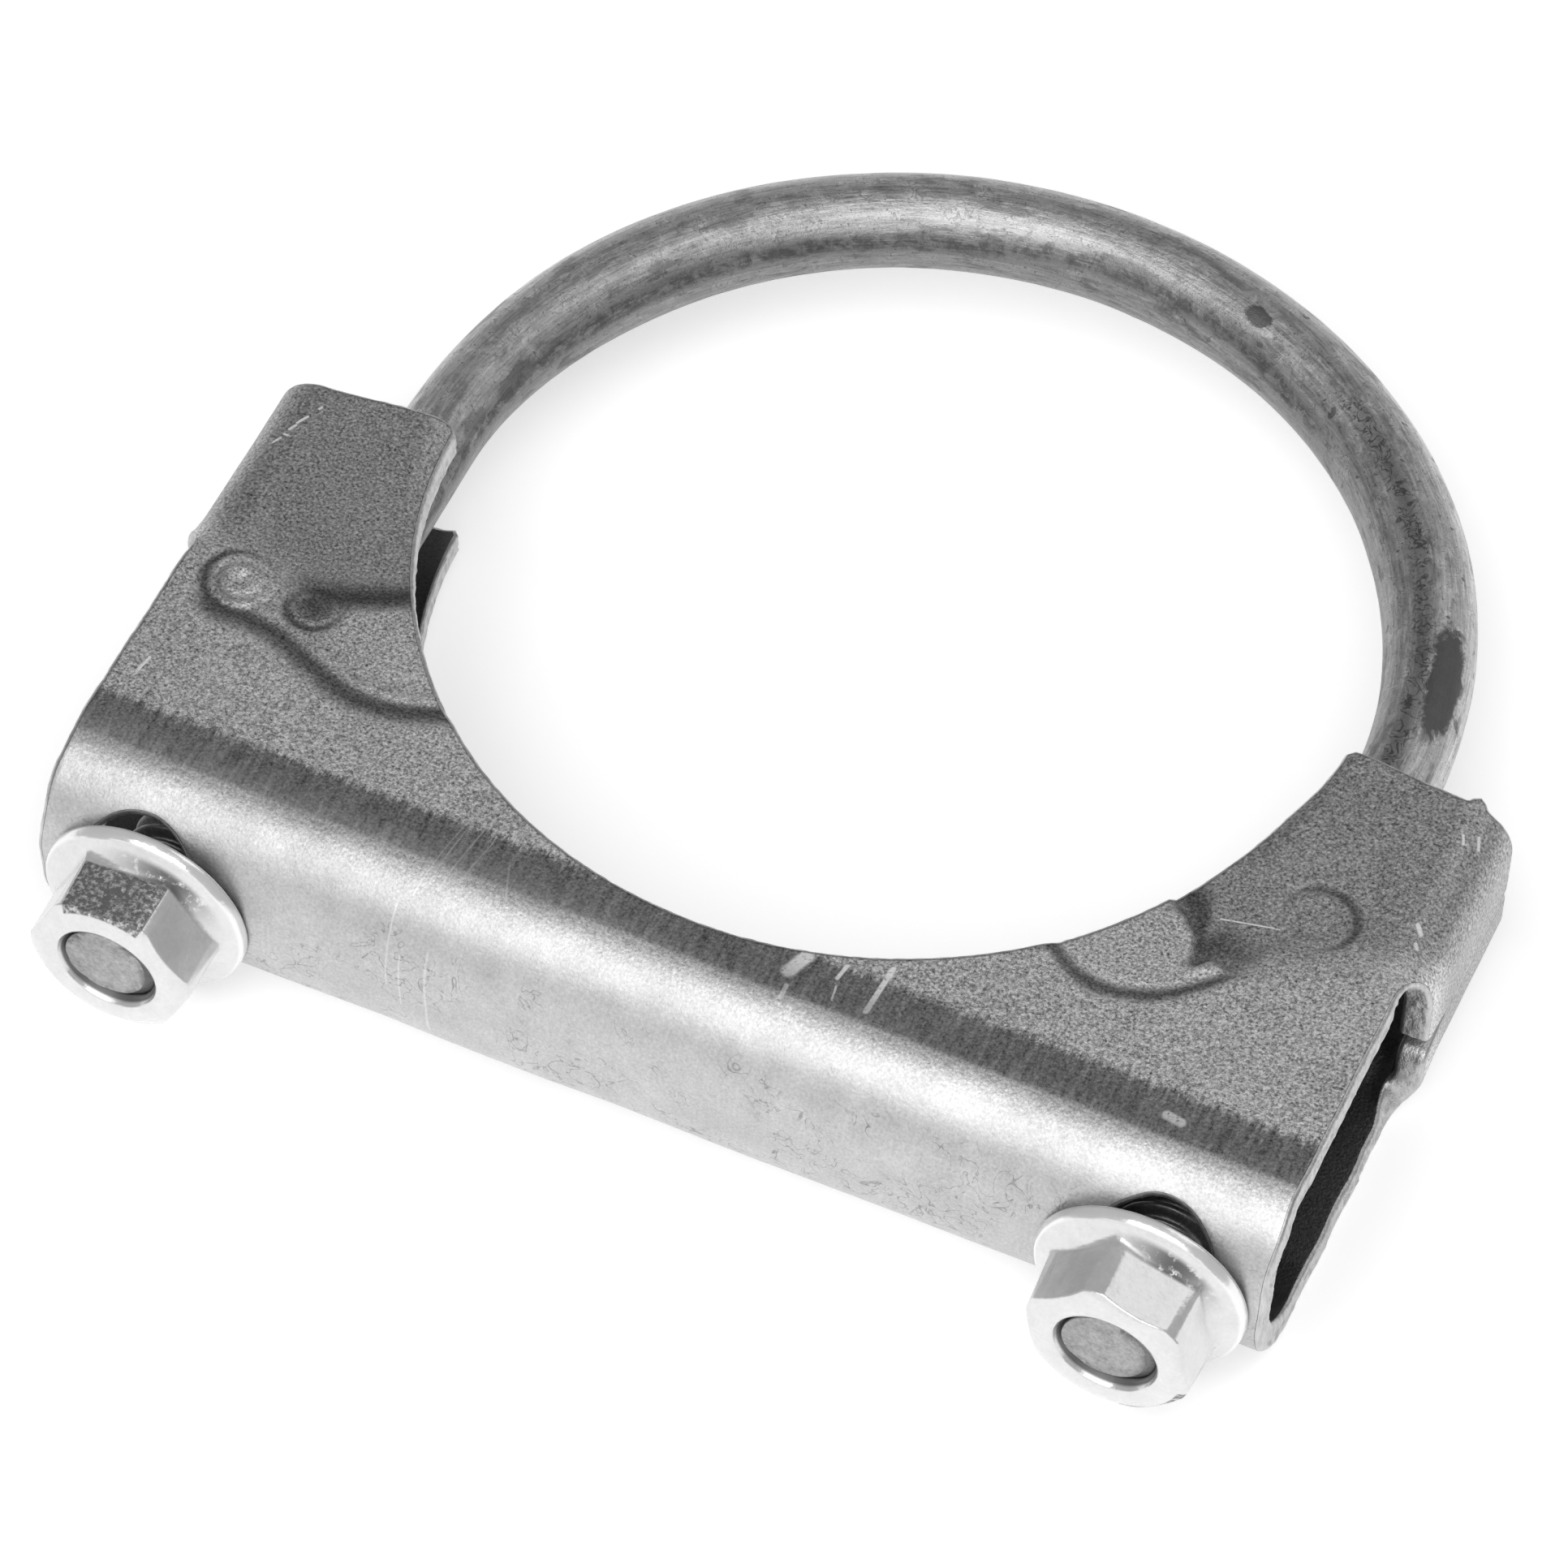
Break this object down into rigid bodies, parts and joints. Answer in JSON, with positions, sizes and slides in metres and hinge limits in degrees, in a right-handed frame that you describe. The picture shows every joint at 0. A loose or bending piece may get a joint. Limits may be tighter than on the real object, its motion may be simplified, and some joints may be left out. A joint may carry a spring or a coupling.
{
  "type": "u-bolt pipe clamp",
  "caption": "Exhaust U-bolt clamp: bent round rod with threaded legs, folded sheet-steel saddle and hexagon flange nuts that draw the rod down over a pipe.",
  "frame": {"origin": "centre of the saddle's pipe seat, on the pipe's axis, half way through the saddle's thickness", "axes": "+Z along the pipe axis, X across the two legs, +Y from the saddle towards the crown of the rod; the nuts are at -Y"},
  "size_m": [0.1072, 0.1047, 0.0188],
  "materials": {
    "rod_steel": "drawn rod, dull and mottled",
    "saddle_steel": "bare mill sheet, fine grain",
    "nut_zinc": "bright zinc plate"
  },
  "bodies": {
    "saddle": {"saddle": "saddle_steel"},
    "u_bolt": {"u_bolt": "rod_steel"},
    "nut_left": {"nut_left": "nut_zinc"},
    "nut_right": {"nut_right": "nut_zinc"}
  },
  "joints": [
    {"name": "u_bolt_slide", "type": "slide", "parent": "saddle", "child": "u_bolt", "axis": [0, -1, 0], "range_m": [-0.00564, 0.00564]},
    {"name": "nut_left_spin", "type": "hinge", "parent": "saddle", "child": "nut_left", "pos_m": [-0.04212, -0.0482, 0], "axis": [0, 1, 0], "range_deg": [-1440, 1440]},
    {"name": "nut_right_spin", "type": "hinge", "parent": "saddle", "child": "nut_right", "pos_m": [0.04212, -0.0482, 0], "axis": [0, 1, 0], "range_deg": [-1440, 1440]}
  ],
  "couplings": [
    {"joint": "nut_left_spin", "follows": "u_bolt_slide", "rad_per_m": 4452.6},
    {"joint": "nut_right_spin", "follows": "u_bolt_slide", "rad_per_m": 4452.6}
  ]
}
